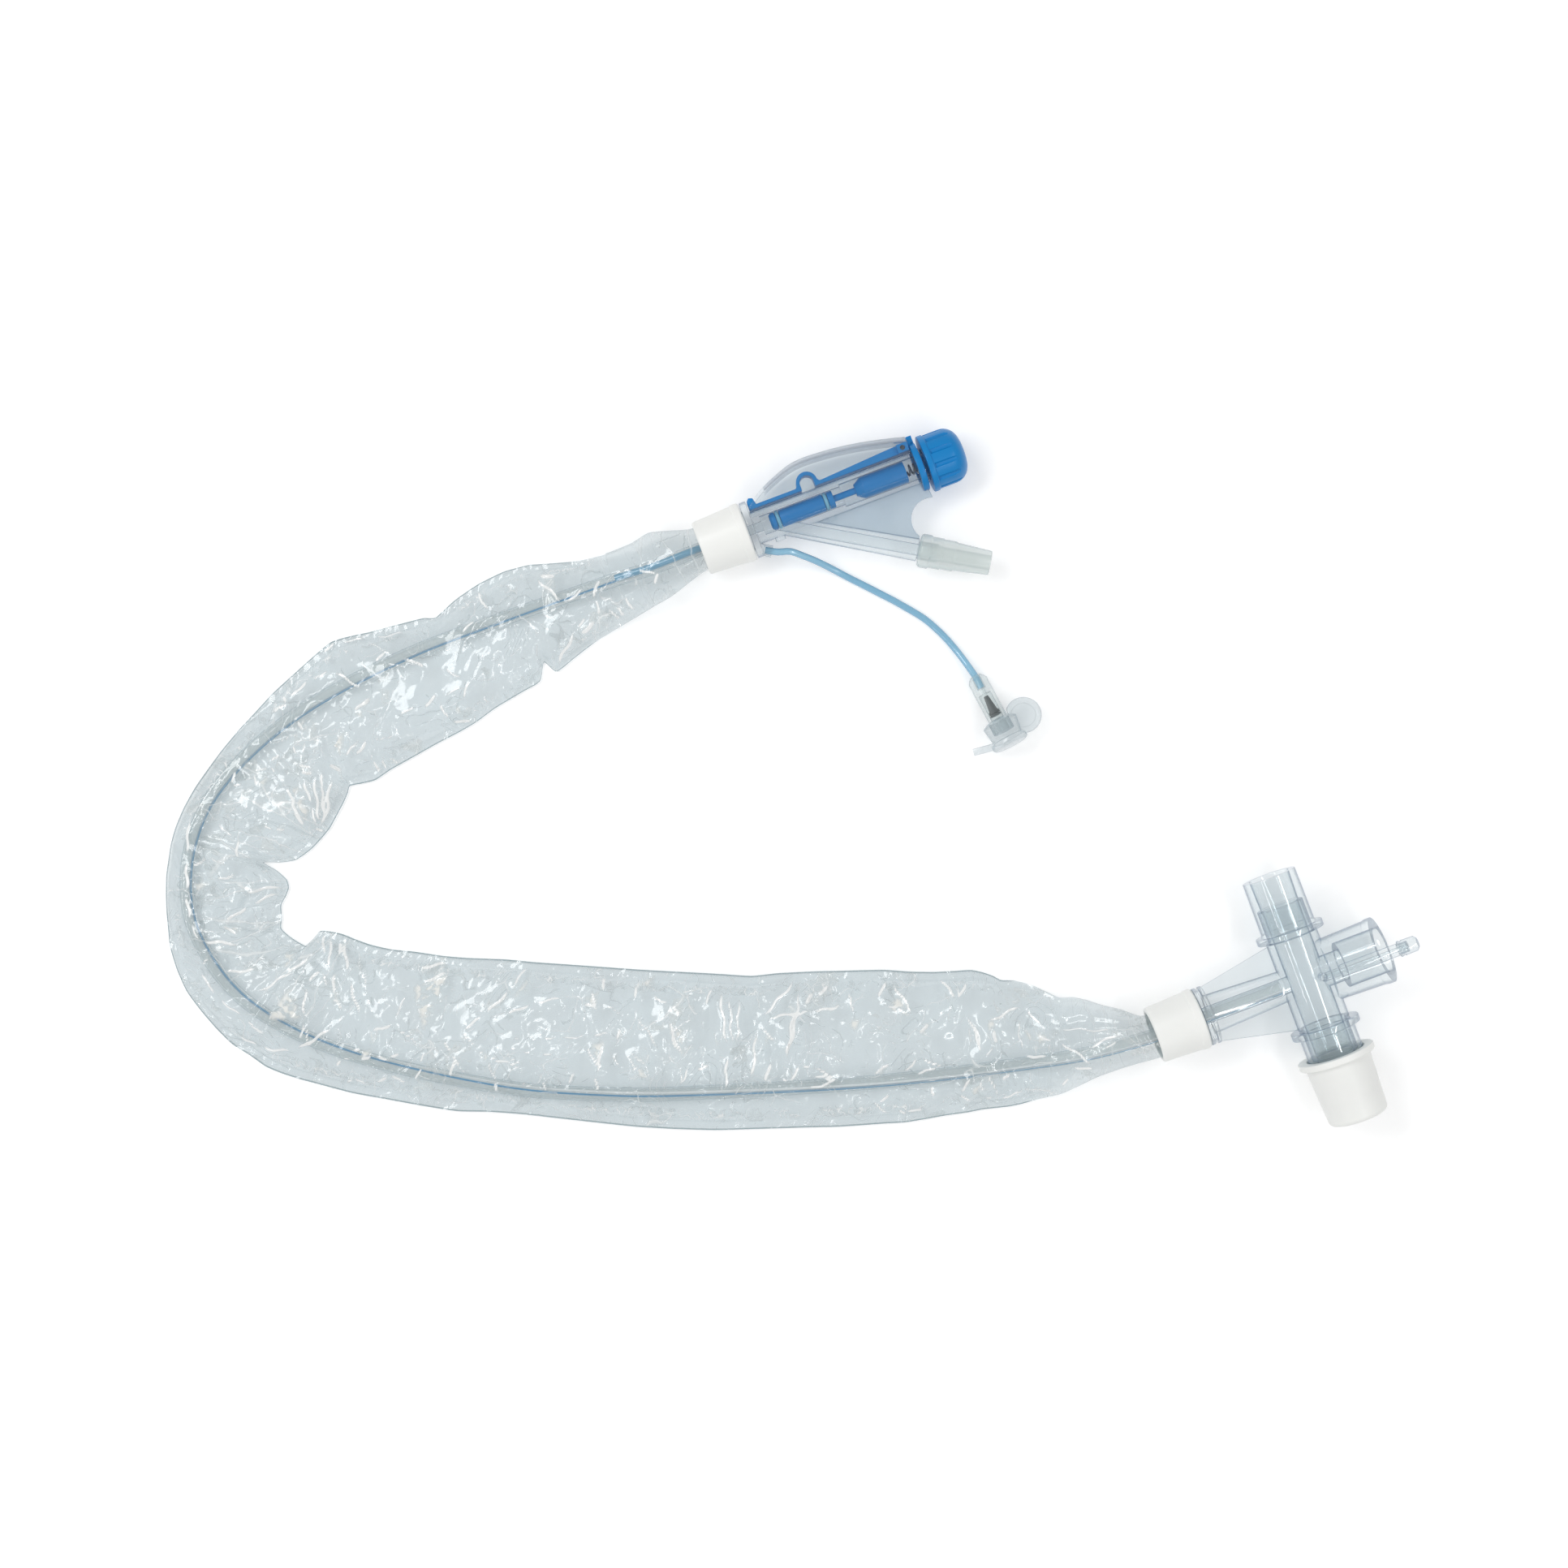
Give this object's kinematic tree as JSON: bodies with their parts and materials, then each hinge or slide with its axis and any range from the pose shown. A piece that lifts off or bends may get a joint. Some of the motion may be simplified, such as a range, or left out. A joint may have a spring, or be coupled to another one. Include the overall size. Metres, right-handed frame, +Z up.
{
  "type": "suction catheter",
  "caption": "Closed airway suction catheter in a clear film sleeve, with a thumb control valve, a swivel manifold and a short irrigation line with a soft cap.",
  "frame": {"origin": "centre of the set's footprint, on the table it lies on; the free irrigation line and its fitting aren't counted", "axes": "+X along the control valve, from the sleeve to its cap; +Z up from the table; +Y across, from the manifold to the valve"},
  "size_m": [0.3794, 0.2642, 0.0277],
  "materials": {
    "clear": "gloss",
    "white": "satin",
    "blue": "satin",
    "pale_blue": "gloss",
    "milky": "satin",
    "film": "gloss",
    "seal": "matte",
    "silicone": "satin",
    "dark": "satin",
    "spring": "satin"
  },
  "bodies": {
    "set": {"valve_body": "clear", "return_strip": "blue", "return_spring": "spring", "vacuum_connector": "milky", "valve_ferrule": "white", "sleeve": "film", "catheter": "clear", "flush_lumen": "pale_blue", "patient_ferrule": "white", "manifold_body": "clear", "wiper_seal": "silicone", "wiper_retainer": "milky", "irrigation_tube": "pale_blue", "check_valve_housing": "milky", "check_valve_insert": "dark", "check_disc": "dark", "irrigation_cap": "milky"},
    "press": {"thumb_press": "clear"},
    "spool": {"valve_spool": "blue", "spool_seal_front": "seal", "spool_seal_rear": "seal"},
    "lock": {"lock_cap": "blue"},
    "upper_swivel": {"upper_swivel": "clear"},
    "lower_swivel": {"lower_swivel": "clear"},
    "cap": {"protective_cap": "white"},
    "flush_cap": {"flush_port_cap": "clear"}
  },
  "joints": [
    {"name": "press_hinge", "type": "hinge", "parent": "set", "child": "press", "pos_m": [0.092, 0.12346, 0.0099], "axis": [0, 0, 1], "range_deg": [0, 2.6], "stiffness_Nm_per_rad": 0.2, "springref_deg": -2.86},
    {"name": "spool_slide", "type": "slide", "parent": "set", "child": "spool", "axis": [1, 0, 0], "range_m": [0, 0.003], "deforming": ["return_spring"]},
    {"name": "lock_turn", "type": "hinge", "parent": "set", "child": "lock", "pos_m": [0.0975, 0.11626, 0.0099], "axis": [1, 0, 0], "range_deg": [0, 90]},
    {"name": "upper_swivel_turn", "type": "hinge", "parent": "set", "child": "upper_swivel", "pos_m": [0.1546, -0.06934, 0.0127], "axis": [0, 1, 0], "continuous": true},
    {"name": "lower_swivel_turn", "type": "hinge", "parent": "set", "child": "lower_swivel", "pos_m": [0.1546, -0.09934, 0.0127], "axis": [0, 1, 0], "continuous": true},
    {"name": "cap_pull", "type": "slide", "parent": "lower_swivel", "child": "cap", "axis": [0, -1, 0], "range_m": [0, 0.025]},
    {"name": "flush_cap_pull", "type": "slide", "parent": "set", "child": "flush_cap", "axis": [1, 0, 0], "range_m": [0, 0.008]}
  ],
  "couplings": [
    {"joint": "spool_slide", "follows": "press_hinge", "m_per_rad": 0.06598}
  ]
}
